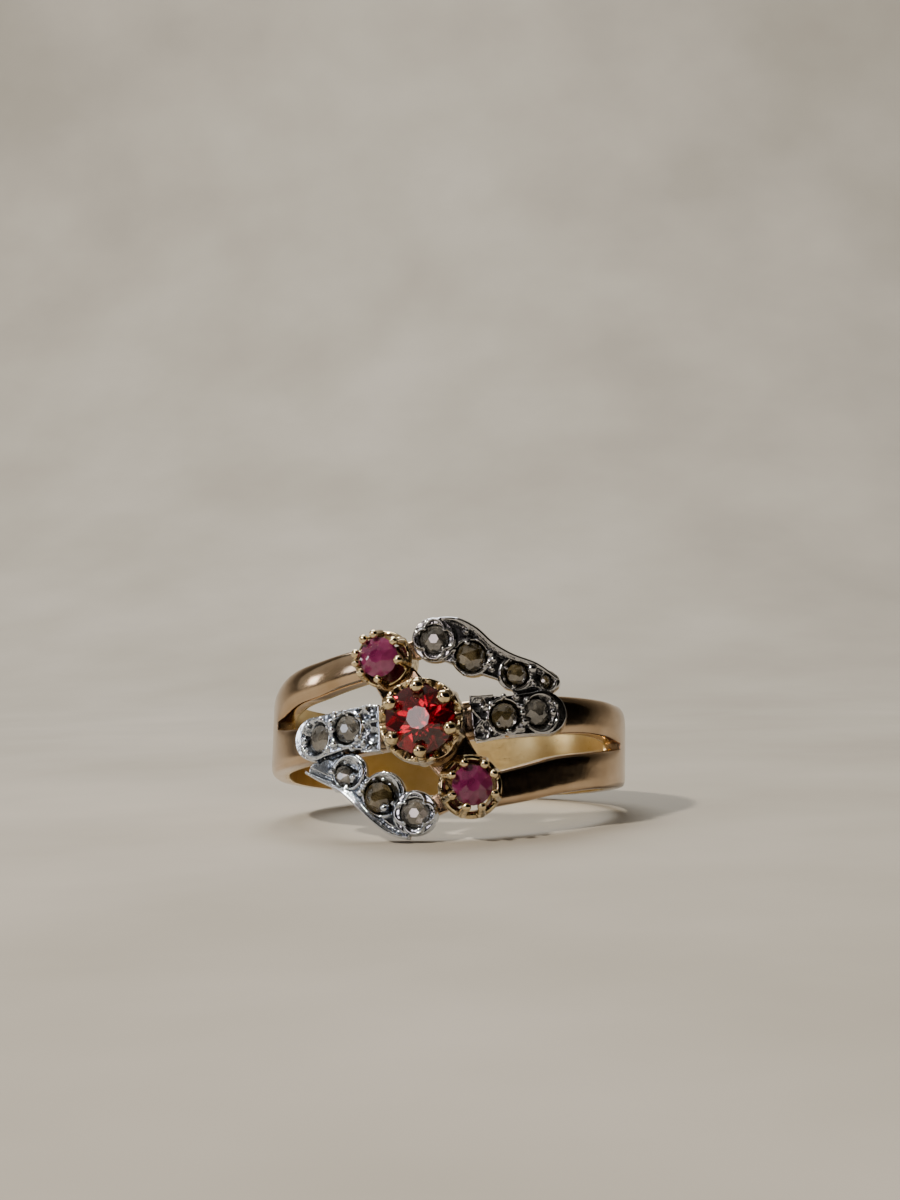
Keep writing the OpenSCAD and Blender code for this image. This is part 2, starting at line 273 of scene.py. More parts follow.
def turned(profile: list[Point], sides: int = 64) -> bpy.types.Object:
    """Turns a closed ring about Z, as on a lathe.

    Args:
        profile: Radii and heights, in order round the section.
        sides: Number of its sides.

    Returns:
        The ring.
    """
    bpy.ops.mesh.primitive_circle_add(
        vertices=sides, radius=profile[0][0], location=(0, 0, profile[0][1]), fill_type="NOTHING"
    )
    piece = settle(bpy.context.object)
    bpy.ops.object.mode_set(mode="EDIT")
    bpy.ops.mesh.select_all(action="SELECT")
    for (last_r, last_z), (r, z) in zip(profile, profile[1:]):
        bpy.ops.mesh.extrude_edges_move(TRANSFORM_OT_translate={"value": (0, 0, z - last_z)})
        bpy.ops.transform.resize(value=(r / last_r, r / last_r, 1), center_override=(0, 0, z))
    bpy.ops.mesh.select_all(action="DESELECT")
    bpy.ops.mesh.select_non_manifold(
        extend=False, use_wire=False, use_multi_face=False, use_non_contiguous=False, use_verts=False
    )
    bpy.ops.mesh.bridge_edge_loops()
    turn_out()
    return piece


def prism(outline: list[Point], low: float, high: float) -> bpy.types.Object:
    """Makes an upright slab with an outline.

    Args:
        outline: Its corners, in order.
        low: Height of its underside.
        high: Height of its top.

    Returns:
        The slab.
    """
    bpy.ops.mesh.primitive_circle_add(vertices=len(outline), radius=1, fill_type="NGON")
    piece = bpy.context.object
    for vertex, (x, y) in zip(piece.data.vertices, outline):
        vertex.co = (x, y, low)
    bpy.ops.object.mode_set(mode="EDIT")
    bpy.ops.mesh.select_all(action="SELECT")
    bpy.ops.mesh.extrude_region_move(TRANSFORM_OT_translate={"value": (0, 0, high - low)})
    turn_out()
    return piece


def keep_shell(piece: bpy.types.Object, low: float, high: float) -> None:
    """Keeps of a piece only what lies between two reaches.

    Args:
        piece: The object.
        low: The nearer reach.
        high: The farther one.
    """
    half = 7.0
    shell = turned([(low, -half), (high, -half), (high, half), (low, half)], 160)
    cut(piece, [shell], "INTERSECT")


def bench_copy(node: str) -> bpy.types.Object:
    """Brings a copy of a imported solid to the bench, its loose triangles merged.

    Args:
        node: The solid's name.

    Returns:
        The copy, in millimetres.
    """
    piece = bpy.data.objects.new(f"{node}_copy", frame["nodes"][node].data.copy())
    bpy.context.scene.collection.objects.link(piece)
    settle(piece, LAID.inverted())
    bpy.ops.object.mode_set(mode="EDIT")
    bpy.ops.mesh.select_all(action="SELECT")
    bpy.ops.mesh.remove_doubles(threshold=0.0005)
    bpy.ops.object.mode_set(mode="OBJECT")
    return piece


def smooth_rows(rows: list[tuple[float, ...]], steps: int = 8) -> np.ndarray:
    """Runs a smooth curve through the rows of a table.

    Args:
        rows: The table.
        steps: New rows for each old one.

    Returns:
        The rows of the curve.
    """
    table, out = np.array(rows, float), []
    for i in range(len(table) - 1):
        a, b, c, d = (table[min(max(i + k, 0), len(table) - 1)] for k in (-1, 0, 1, 2))
        for t in np.arange(steps) / steps:
            cubic = (2 * a - 5 * b + 4 * c - d) * t**2 + (3 * b - a - 3 * c + d) * t**3
            out.append(0.5 * (2 * b + (c - a) * t + cubic))
    return np.array([*out, table[-1]])


def link_outline(a: Vector, ra: float, b: Vector, rb: float) -> list[Point]:
    """Outlines a flat link that leaves two rounds along their tangents.

    Args:
        a: Middle of the first round.
        ra: Its radius.
        b: Middle of the second round.
        rb: Its radius.

    Returns:
        The four corners.
    """
    along = (b - a).normalized()
    aside = Vector((-along.y, along.x))
    s = (ra - rb) / (b - a).length
    c = math.sqrt(1 - s * s)
    up, down = along * s + aside * c, along * s - aside * c
    return [tuple(p) for p in (a + ra * up, a + ra * down, b + rb * down, b + rb * up)]


# ---------------------------------------------------------------- finishes


def linear(code: str) -> tuple[float, float, float, float]:
    """Turns an sRGB hex colour to linear values, with full alpha."""
    parts = [int(code[i : i + 2], 16) / 255 for i in (1, 3, 5)]
    return (*[c / 12.92 if c <= 0.04045 else ((c + 0.055) / 1.055) ** 2.4 for c in parts], 1.0)


def add(
    tree: bpy.types.NodeTree,
    kind: str,
    inputs: dict[str | int, object] | None = None,
    stops: dict[float, str] | None = None,
    **settings: object,
) -> bpy.types.Node:
    """Adds a node to a material.

    Args:
        tree: The material's nodes.
        kind: Blender's name of the node, without the ShaderNode before it.
        inputs: What each input gets: a node's first output, a socket or a value.
        stops: Colours of a colour ramp, by their places.
        settings: The node's own settings.

    Returns:
        The node.
    """
    node = tree.nodes.new(f"ShaderNode{kind}")
    for name, value in settings.items():
        setattr(node, name, value)
    for name, value in (inputs or {}).items():
        if isinstance(value, bpy.types.Node):
            value = value.outputs[0]
        if isinstance(value, bpy.types.NodeSocket):
            tree.links.new(value, node.inputs[name])
        else:
            node.inputs[name].default_value = value
    for i, (place, shade) in enumerate((stops or {}).items()):
        ramp = node.color_ramp.elements
        stop = ramp[i] if i < len(ramp) else ramp.new(place)
        stop.position, stop.color = place, linear(shade)
    return node


def new_tree(name: str) -> tuple[bpy.types.Material, bpy.types.NodeTree]:
    """Starts an empty material.

    Args:
        name: Its name.

    Returns:
        The material and its nodes.
    """
    material = bpy.data.materials.new(name)
    material.use_nodes = True
    material.node_tree.nodes.clear()
    return material, material.node_tree


def on_bench(tree: bpy.types.NodeTree) -> bpy.types.Node:
    """Gives a material the bench's directions, in millimetres.

    Args:
        tree: The material's nodes.

    Returns:
        The node that gives the place.
    """
    where = add(tree, "TexCoord")
    place, turn, _ = LAID.decompose()
    laid = {"Location": place, "Rotation": turn.to_euler(), "Scale": (MM, MM, MM)}
    return add(tree, "Mapping", {"Vector": where.outputs["Object"], **laid}, vector_type="TEXTURE")


def close_metal(tree: bpy.types.NodeTree, colour: object, rough: object, relief: object) -> None:
    """Ends a metal's nodes with its shader.

    Args:
        tree: The material's nodes.
        colour: What gives its colour.
        rough: What gives its roughness.
        relief: What gives its bumps.
    """
    looks = {"Base Color": colour, "Metallic": 1.0, "Roughness": rough, "Normal": relief}
    add(tree, "OutputMaterial", {"Surface": add(tree, "BsdfPrincipled", looks)})


@dataclass(frozen=True)
class PolishedGold:
    """Rose gold of about 14 carats, rolled and polished, worn by years on a finger.

    The copper in it makes the outside pinkish, the inside is yellower and duller, and fine scratches run
    round the band and across it, which spreads its reflections. Sizes are in millimetres.
    """

    outside: str = "#C8AF92"
    outside_deep: str = "#B79D7E"
    inside: str = "#DCC692"
    inside_deep: str = "#CBB078"
    inside_ends: Point = (8.74, 9.1)
    scratch_gap: float = 0.09
    scratch_deep: float = 0.003
    dent_deep: float = 0.05
    roughness: Point = (0.12, 0.19)
    duller_inside: float = 0.15

    def material(self) -> bpy.types.Material:
        """Makes the material.

        Returns:
            The material.
        """
        material, tree = new_tree("polished rose gold")
        place = on_bench(tree)
        flat = add(tree, "VectorMath", {0: place, 1: (1, 1, 0)}, operation="MULTIPLY")
        reach = add(tree, "VectorMath", {0: flat}, operation="LENGTH").outputs["Value"]
        near, far = self.inside_ends
        outer = add(tree, "MapRange", {"Value": reach, "From Min": near, "From Max": far})
        clouds = add(tree, "TexNoise", {"Vector": place, "Scale": 0.55, "Detail": 5.0})
        tone = add(tree, "MapRange", {"Value": clouds, "From Min": 0.35, "From Max": 0.65})
        inside, outside = (
            add(tree, "Mix", {0: tone, 6: linear(deep), 7: linear(light)}, data_type="RGBA").outputs[2]
            for light, deep in ((self.inside, self.inside_deep), (self.outside, self.outside_deep))
        )
        colour = add(tree, "Mix", {0: outer, 6: inside, 7: outside}, data_type="RGBA").outputs[2]
        scale = 0.5 / self.scratch_gap
        lines = []
        for stretch, share in (((0.5, 0.5, 6.0), 0.35), ((4.0, 4.0, 1.0), 0.4)):
            along = add(tree, "VectorMath", {0: place, 1: stretch}, operation="MULTIPLY")
            lines.append(add(tree, "TexNoise", {"Vector": along, "Scale": scale * share, "Detail": 2.5}))
        both = add(tree, "Math", dict(enumerate(lines)), operation="ADD")
        smooth, rough = self.roughness
        ends = {"From Min": 0.65, "From Max": 1.35, "To Min": smooth, "To Max": rough}
        spread = add(tree, "MapRange", {"Value": both, **ends})
        dull = {0: outer, 1: -self.duller_inside, 2: self.duller_inside}
        duller = add(tree, "Math", dull, operation="MULTIPLY_ADD")
        satin = add(tree, "Math", {0: spread, 1: duller}, operation="ADD")
        dents = add(tree, "TexNoise", {"Vector": place, "Scale": 1.3, "Detail": 2.0})
        swell = add(tree, "Bump", {"Height": dents, "Strength": 0.2, "Distance": self.dent_deep * MM})
        fine = {"Height": both, "Strength": 0.08, "Distance": self.scratch_deep * MM, "Normal": swell}
        close_metal(tree, colour, satin, add(tree, "Bump", fine))
        return material


@dataclass(frozen=True)
class WornMetalPaintedLight:
    """Cast and filed metal of a setting, lighter on its high places and darker in its hollows.

    The hollows hold a dark tarnish and a painted shade, which draws every bead and claw, and the high places
    are worn bright and carry a painted highlight. The pointiness where the hollows end and where the high
    places begin is given, and the lumps' sizes are in millimetres.
    """

    name: str
    bright: str
    body: str
    dark: str
    hollow: float = 0.488
    rubbed_and_highlit: float = 0.515
    uneven: float = 0.008
    roughness: Point = (0.16, 0.42)
    grain: float = 0.2
    lump_deep: float = 0.05

    def material(self) -> bpy.types.Material:
        """Makes the material.

        Returns:
            The material.
        """
        material, tree = new_tree(self.name)
        place = on_bench(tree)
        form = add(tree, "NewGeometry").outputs["Pointiness"]
        # Noise shifts where the dark hollows and the bright high places begin, so the tarnish, the painted
        # shade and the painted highlight lie unevenly.
        blotch_noise = add(tree, "TexNoise", {"Vector": place, "Scale": 1.6, "Detail": 4.0})
        ends = {"From Min": 0.3, "From Max": 0.7, "To Min": -self.uneven, "To Max": self.uneven}
        shift = add(tree, "MapRange", {"Value": blotch_noise, **ends})
        worn = add(tree, "Math", {0: form, 1: shift}, operation="ADD")
        # Painted shade: the hollows turn to the dark colour, for their tarnish and for the shade that falls
        # in them.
        ramp = add(tree, "ValToRGB", {"Fac": worn}, {self.hollow - 0.03: self.dark, self.hollow: self.body})
        height = add(tree, "MapRange", {"Value": worn, "From Min": self.hollow, "From Max": self.rubbed_and_highlit})
        # Painted highlight: the high places turn to the bright colour, for worn metal and for a highlight on
        # them.
        colour = add(tree, "Mix", {0: height, 6: ramp, 7: linear(self.bright)}, data_type="RGBA")
        smooth, dull = self.roughness
        ends = {"From Min": self.hollow - 0.02, "From Max": self.rubbed_and_highlit, "To Min": dull, "To Max": smooth}
        rough = add(tree, "MapRange", {"Value": worn, **ends})
        lumps = add(tree, "TexNoise", {"Vector": place, "Scale": 0.5 / self.grain, "Detail": 2.0})
        relief = add(tree, "Bump", {"Height": lumps, "Strength": 0.4, "Distance": self.lump_deep * MM})
        close_metal(tree, colour.outputs[2], rough, relief)
        return material


class Clarity(Enum):
    """How far a stone lets light through."""

    CLEAR = 0.94
    SLEEPY = 0.66
    CLOUDY = 0.35


@dataclass(frozen=True)
class CutStone:
    """A cut and polished stone: its colour clouds inside, and its facets mirror like glass.

    Corundum bends light at 1.76 and diamond at 2.42. Old rose cuts sit over closed silver, so little light
    comes back through them and their colour is that of the dark seat below. A stone with worn facets has less
    polish than 0.5, and mirrors less. The cloud is the size of its colour's clouds, in millimetres.
    """

    name: str
    light: str
    deep: str
    clarity: Clarity
    bend: float
    cloud: float = 0.5
    polish: float = 0.5

    def material(self) -> bpy.types.Material:
        """Makes the material.

        Returns:
            The material.
        """
        material, tree = new_tree(self.name)
        clouds = {"Vector": on_bench(tree), "Scale": 0.5 / self.cloud, "Detail": 3.0}
        tone = {"Fac": add(tree, "TexNoise", clouds)}
        looks = {
            "Base Color": add(tree, "ValToRGB", tone, {0.36: self.deep, 0.64: self.light}),
            "Roughness": 0.03,
            "IOR": self.bend,
            "Specular IOR Level": self.polish,
            "Transmission Weight": self.clarity.value,
        }
        add(tree, "OutputMaterial", {"Surface": add(tree, "BsdfPrincipled", looks)})
        return material


@dataclass(frozen=True)
class PaleCloth:
    """Plain pale matt backdrop, with the faint unevenness of cloth."""

    light: str = "#ABA599"
    deep: str = "#9A9488"

    def material(self) -> bpy.types.Material:
        """Makes the material.

        Returns:
            The material.
        """
        material, tree = new_tree("pale cloth")
        where = add(tree, "TexCoord").outputs["Object"]
        clouds = add(tree, "TexNoise", {"Vector": where, "Scale": 40.0, "Detail": 4.0})
        ramp = add(tree, "ValToRGB", {"Fac": clouds}, {0.3: self.deep, 0.7: self.light})
        matt = add(tree, "BsdfPrincipled", {"Base Color": ramp, "Roughness": 0.9})
        add(tree, "OutputMaterial", {"Surface": matt})
        return material


def dress(
    piece: bpy.types.Object, name: str, material: bpy.types.Material, stands_for: str
) -> None:
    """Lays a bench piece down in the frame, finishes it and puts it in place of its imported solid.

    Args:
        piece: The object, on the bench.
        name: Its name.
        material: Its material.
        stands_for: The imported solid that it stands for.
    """
    settle(piece, LAID)
    bpy.ops.object.shade_smooth()
    piece.name = piece.data.name = name
    piece.data.materials.clear()
    piece.data.materials.append(material)
    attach(piece, "root")
    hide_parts(stands_for)
    log.info("%s: %d faces", name, len(piece.data.polygons))


# ---------------------------------------------------------------- the band


@dataclass(frozen=True)
class Edge:
    """How an edge of the band is worn round: how far it falls towards the finger, over what width, in mm."""

    fall: float
    width: float


@dataclass
class Band:
    """The closed back of the band and its four arms, with the edges worn round.

    The tables give the edges by the angle from the head: of each side's outer and inner arm, where a slot
    parts them, and of the closed rest. Spans gives the columns of vertices: from, to and how many. Edges
    that turn by more than sharp, in degrees, are rounded by wall_edge.
    """

    finger_r: float = 8.7
    band_r: float = 9.64
    shift: float = 0.12
    right_outer: tuple[Row, ...] = (
        (20, -4.02, -2.25),
        (31, -3.63, -1.72),
        (42, -3.19, -1.22),
        (55, -2.82, -0.88),
        (66, -2.62, -0.62),
        (77, -2.42, -0.38),
    )
    right_inner: tuple[Row, ...] = (
        (10, -0.75, 1.25),
        (22, -0.55, 1.60),
        (33, -0.35, 1.76),
        (43, -0.12, 1.87),
        (54, 0.06, 1.95),
        (66, 0.07, 2.02),
        (77, -0.06, 2.03),
    )
    left_outer: tuple[Row, ...] = (
        (20, -4.05, -2.28),
        (30, -3.83, -1.94),
        (40, -3.58, -1.61),
        (50, -3.40, -1.40),
        (58, -3.22, -1.10),
        (65, -3.00, -0.72),
    )
    left_inner: tuple[Row, ...] = (
        (10, -0.75, 1.20),
        (22, -0.45, 1.45),
        (33, -0.20, 1.60),
        (44, -0.13, 1.71),
        (55, -0.20, 1.83),
        (65, -0.30, 1.90),
    )
    closed: tuple[Row, ...] = (
        (77, -2.42, 2.03),
        (90, -2.24, 2.12),
        (101, -2.16, 2.15),
        (140, -2.15, 2.15),
        (220, -2.15, 2.15),
        (259, -2.14, 2.16),
        (270, -2.07, 2.30),
        (284, -1.96, 2.66),
        (295, -1.90, 3.00),
    )
    spans: tuple[tuple[float, float, int], ...] = (
        (10, 20, 4),
        (20, 77, 26),
        (77, 101, 11),
        (101, 259, 60),
        (259, 295, 16),
        (295, 340, 21),
        (340, 350, 4),
    )
    outer_ends: Point = (20, 340)
    slot_ends: Point = (77, 295)
    right_slot: Point = (0.459, 0.531)
    left_slot: Point = (0.449, 0.5347)
    slot_fade: float = 40.0
    wear_fade: float = 7.0
    right_edges: tuple[Edge, ...] = (Edge(0.25, 0.4), Edge(0.22, 0.4), Edge(0.22, 0.4), Edge(0.46, 0.9))
    left_edges: tuple[Edge, ...] = (Edge(0.25, 0.4), Edge(0.22, 0.4), Edge(0.36, 0.8), Edge(0.52, 0.95))
    lines: int = 11
    sharp: float = 50.0
    wall_edge: float = 0.13

    def columns(self) -> np.ndarray:
        """Places the columns, from the right arms round the back to the left ones.

        Returns:
            Their angles from the head.
        """
        steps = [np.linspace(a, b, n, endpoint=False) for a, b, n in self.spans]
        return np.concatenate([*steps, [self.spans[-1][1]]])

    def round_back(self, angle: float) -> float:
        """Gives how far an angle is on the way from the right slot round the back to the left one, 0 to 1."""
        start, end = self.slot_ends
        return min(max((angle - start) / (end - start), 0), 1)

    def edges_at(self, angle: float) -> tuple[float, float, float, float, bool]:
        """Gives the heights of the four edges at an angle.

        Args:
            angle: Angle from the head, counted on round the back.

        Returns:
            Lower and upper edge of the lower arm, lower and upper edge of the upper arm, and whether a slot
            parts them.
        """
        start, end = self.slot_ends
        if start < angle < end:
            bottom, top = self.heights(self.closed, angle)
            t = self.round_back(angle)
            low, high = (r + (l - r) * t for r, l in zip(self.right_slot, self.left_slot))
            return (bottom, bottom + low * (top - bottom), bottom + high * (top - bottom), top, False)
        if angle <= start:
            return (*self.heights(self.right_outer, angle), *self.heights(self.right_inner, angle), True)
        outer_low, outer_high = self.heights(self.left_outer, 360 - angle)
        inner_low, inner_high = self.heights(self.left_inner, 360 - angle)
        return (-inner_high, -inner_low, -outer_high, -outer_low, True)

    def heights(self, table: tuple[Row, ...], angle: float) -> list[float]:
        """Reads the lower and the upper edge at an angle off the smooth curve through a table."""
        curve = smooth_rows(table)
        return [float(np.interp(angle, curve[:, 0], curve[:, k])) for k in (1, 2)]

    def spots(self, piece: bpy.types.Object, columns: int) -> list[tuple[int, int]]:
        """Finds each vertex's place in the flat strip.

        Args:
            piece: The strip, a grid 2 wide and 2 high.
            columns: How many columns it has.

        Returns:
            Each vertex's column, and its row from the lower edge.
        """
        last = 2 * self.lines - 1
        return [
            (round((v.co.x + 1) / 2 * (columns - 1)), round((v.co.y + 1) / 2 * last))
            for v in piece.data.vertices
        ]

    def cut_slots(self, piece: bpy.types.Object, angles: np.ndarray) -> None:
        """Takes the slots and the ends of the shorter arms out of the flat strip.

        Args:
            piece: The strip.
            angles: The columns' angles.
        """
        spots = self.spots(piece, len(angles))
        middle, near = self.lines - 1, 0.01
        (right, left), (right_outer, left_outer) = self.slot_ends, self.outer_ends
        wanted = []
        for face in piece.data.polygons:
            i, j = (min(spots[k][axis] for k in face.vertices) for axis in (0, 1))
            start, end = angles[i], angles[i + 1]
            in_slot = j == middle and (end <= right + near or start >= left - near)
            low_end = j < middle and end <= right_outer + near
            high_end = j > middle and start >= left_outer - near
            wanted.append(in_slot or low_end or high_end)
        pick_faces(piece, wanted)
        bpy.ops.mesh.delete(type="FACE")
        bpy.ops.object.mode_set(mode="OBJECT")

    def build(self) -> bpy.types.Object:
        """Makes the band: a strip with its slots cut out is wrapped round the finger hole and given its wall.

        Returns:
            The band, on the bench.
        """
        angles = self.columns()
        last = 2 * self.lines - 1
        bpy.ops.mesh.primitive_grid_add(x_subdivisions=len(angles) - 1, y_subdivisions=last, size=2)
        piece = bpy.context.object
        self.cut_slots(piece, angles)
        share = (1 - np.cos(np.pi * np.arange(self.lines) / (self.lines - 1))) / 2
        rows = [self.edges_at(a) for a in angles]
        for vertex, (i, j) in zip(piece.data.vertices, self.spots(piece, len(angles))):
            low, mid_low, mid_high, high, slot = rows[i]
            if j < self.lines:
                height = low + (mid_low - low) * share[j]
            else:
                height = mid_high + (high - mid_high) * share[j - self.lines]
            if not slot:
                even = low + (high - low) * (1 - math.cos(math.pi * j / last)) / 2
                away = min(angles[i] - self.slot_ends[0], self.slot_ends[1] - angles[i])
                fade = min(max(away / self.slot_fade, 0), 1)
                fade = fade * fade * (3 - 2 * fade)
                height = height + (even - height) * fade
            turn = math.radians(angles[i])
            vertex.co = (self.finger_r * math.sin(turn), -self.finger_r * math.cos(turn), height)
        pick_faces(piece, [True] * len(piece.data.polygons))
        bpy.ops.mesh.extrude_region_move(TRANSFORM_OT_translate={"value": (0, 0, 0)})
        bpy.ops.object.mode_set(mode="OBJECT")
        for vertex in piece.data.vertices:
            if vertex.select:
                self.raise_to_outside(vertex, angles, rows)
        bpy.ops.object.mode_set(mode="EDIT")
        bpy.ops.mesh.select_all(action="SELECT")
        bpy.ops.mesh.normals_make_consistent(inside=False)
        bpy.ops.mesh.select_mode(type="EDGE")
        bpy.ops.mesh.select_all(action="DESELECT")
        bpy.ops.mesh.edges_select_sharp(sharpness=math.radians(self.sharp))
        bpy.ops.mesh.bevel(offset=self.wall_edge, segments=3, affect="EDGES", clamp_overlap=True)
        bpy.ops.mesh.select_mode(type="VERT")
        bpy.ops.object.mode_set(mode="OBJECT")
        change(piece, "SUBSURF", levels=1, render_levels=1)
        return piece

    def raise_to_outside(self, vertex: bpy.types.MeshVertex, angles: np.ndarray, rows: list[tuple]) -> None:
        """Moves a vertex of the inner wall out to the worn outside.

        Args:
            vertex: The vertex, on the inner wall.
            angles: The columns' angles.
            rows: The edges at each column.
        """
        x, y, height = vertex.co
        turn = math.atan2(x, -y)
        angle = math.degrees(turn) % 360
        low, mid_low, mid_high, high, slot = rows[int(np.argmin(abs(angles - angle)))]
        t = self.round_back(angle)
        pairs = list(zip(self.right_edges, self.left_edges))
        falls = [r.fall + (l.fall - r.fall) * t for r, l in pairs]
        widths = [r.width + (l.width - r.width) * t for r, l in pairs]
        near = max(0.0, 1 - min(abs(angle - end) for end in self.slot_ends) / self.wear_fade)
        inner_share = (1 - near) if slot else 0.0
        falls[1:3] = [fall * inner_share for fall in falls[1:3]]
        gaps = [height - low, mid_low - height, height - mid_high, high - height]
        below = height <= (mid_low + mid_high) / 2
        fall = 0.0
        for k, (gap, width, deep) in enumerate(zip(gaps, widths, falls)):
            if k in (1, 2) and (k == 1) != below:
                continue
            s = min(max(gap / width, 0), 1)
            fall += deep * (1 - math.sqrt(1 - (1 - s) ** 2))
        reach = self.band_r + self.shift * math.cos(turn) - fall
        vertex.co = (reach * math.sin(turn), -reach * math.cos(turn), height)


# ---------------------------------------------------------------- the gold settings


@dataclass
class Setting:
    """A gold cup with claws round a ruby.

    Its radii are from the ruby's middle. A pair is such a radius and a reach. Where notch isn't 0, the crown
    is scalloped that deep between the claws. A claw rises from its foot by its knee to its tip.
    """

    seat: Seat
    claws: list[float]
    foot_r: float
    bore_r: float
    rim: Point
    crown: Point
    notch: float
    claw_foot: Point
    claw_knee: Point
    claw_tip: Point
    claw_r: float
    ball_r: float
    root_r: float
    lip: float = 0.26
    inside: float = 9.02
    grain: float = 0.042

    def cup(self) -> bpy.types.Object:
        """Turns the cup, over its foot, belly, rim, crown and lip, and scallops its crown.

        Returns:
            The cup, on its own seat.
        """
        (rim_r, rim_z), (crown_r, crown_z) = self.rim, self.crown
        piece = turned(
            [
                (self.bore_r, self.inside),
                (self.foot_r, self.inside),
                (rim_r - 0.05, rim_z - 0.3),
                (rim_r, rim_z - 0.12),
                (rim_r, rim_z),
                (crown_r, crown_z),
                (crown_r - 0.1, crown_z + 0.03),
                (max(crown_r - self.lip, self.bore_r + 0.02), crown_z),
                (self.bore_r, crown_z - 0.6),
            ],
            96,
        )
        if not self.notch:
            return piece
        turns = [*self.claws, self.claws[0] + 360]
        cutters = []
        for a, b in zip(turns, turns[1:]):
            share = (b - a) * len(self.claws) / 360
            turn = math.radians((a + b) / 2)
            out = Vector((math.cos(turn), math.sin(turn), 0))
            level = Vector((0, 0, crown_z + self.notch * 0.5))
            near, far = out * (self.bore_r - 0.3) + level, out * (rim_r + 0.4) + level
            cutters.append(bar(near, far, self.notch * share * 0.95, self.notch * share * 1.05, 64))
        cut(piece, cutters)
        return piece

    def claw(self, turn: float, size: float) -> list[bpy.types.Object]:
        """Makes a claw: a wire that rises past the ruby and ends in a ball over its edge.

        Args:
            turn: The claw's turn about the ruby, in degrees.
            size: Its thickness as a share of the usual one.

        Returns:
            Its parts.
        """
        out = Vector((math.cos(math.radians(turn)), math.sin(math.radians(turn)), 0))
        up = Vector((0, 0, 1))
        foot, knee, tip = (out * r + up * z for r, z in (self.claw_foot, self.claw_knee, self.claw_tip))
        r = self.claw_r * size
        return [
            bar(foot - up * 0.4, foot, r * 0.8, self.root_r),
            bar(foot, knee, self.root_r, r),
            ball(knee, r),
            bar(knee, tip, r, r * 0.85),
            ball(tip, self.ball_r * size, 0.92),
        ]

    def build(self, seed: int) -> bpy.types.Object:
        """Makes the setting.

        Args:
            seed: Seed of the claws' small differences.

        Returns:
            The setting, on the bench.
        """
        chance = random.Random(seed)
        parts = [self.cup()]
        for turn in self.claws:
            parts += self.claw(turn, chance.uniform(0.94, 1.05))
        piece = joined(parts)
        cast(piece, self.grain, 3)
        return settle(piece, self.seat.matrix())


@dataclass
class LeafBacks:
    """The gold backs of the two leaves, and the links from the small settings to them and to the centre.

    A link is its radius at the small setting and at its other end, and its inner and its outer reach. It
    starts below the small ruby's middle, which is at the pink reach.
    """

    low: float = 9.3
    high: float = 9.72
    centre_link: tuple[float, float, float, float] = (0.95, 1.35, 9.1, 10.1)
    leaf_link: tuple[float, float, float, float] = (0.5, 0.5, 9.15, 9.72)
    pink_reach: float = 11.35
    top: float = 12.0
    inset: float = 0.06
    grain: float = 0.05

    def build(self, sprays: list["Spray"], pinks: list[Seat]) -> bpy.types.Object:
        """Makes the backs and links.

        Args:
            sprays: The silver sprays whose leaves they carry.
            pinks: Seat of the small ruby beside each leaf.

        Returns:
            The piece, on the bench.
        """
        made = []
        for spray, pink in zip(sprays, pinks):
            backs = joined(spray.leaf_slabs(self.inset))
            settle(backs, Seat(0, 0, spray.half_turned).matrix())
            keep_shell(backs, self.low, self.high)
            made.append(backs)
            spot = Vector((self.pink_reach * math.sin(math.radians(pink.angle)), pink.height))
            ends = (self.centre_link, Vector((0, 0))), (self.leaf_link, -Vector(spray.places()[0]))
            for (near, far, low, high), end in ends:
                link = prism(link_outline(spot, near, end, far), 0, self.top)
                settle(link, Seat(0, 0, pink.half_turned).matrix())
                keep_shell(link, low, high)
                made.append(link)
        piece = joined(made)
        cast(piece, self.grain, 3)
        return piece


# ---------------------------------------------------------------- the silver


@dataclass(frozen=True)
class Stone:
    """A rose cut stone in silver, in mm: its place, its size and the round of silver about it.

    The hollow is cut bright from a rim down to the stone: its middle as angle and height, and its radius.
    """

    angle: float
    height: float
    reach: float
    width: float
    silver: float
    hollow: Row = (0.0, 0.0, 0.0)

    def rim(self) -> Row:
        """Gives the hollow's rim, which is about the stone itself where it has none of its own."""
        return self.hollow if self.hollow[2] else (self.angle, self.height, self.silver - 0.14)


@dataclass(frozen=True)
class Grain:
    """A bead of silver raised beside a stone: its place and its radius."""

    angle: float
    height: float
    reach: float
    radius: float


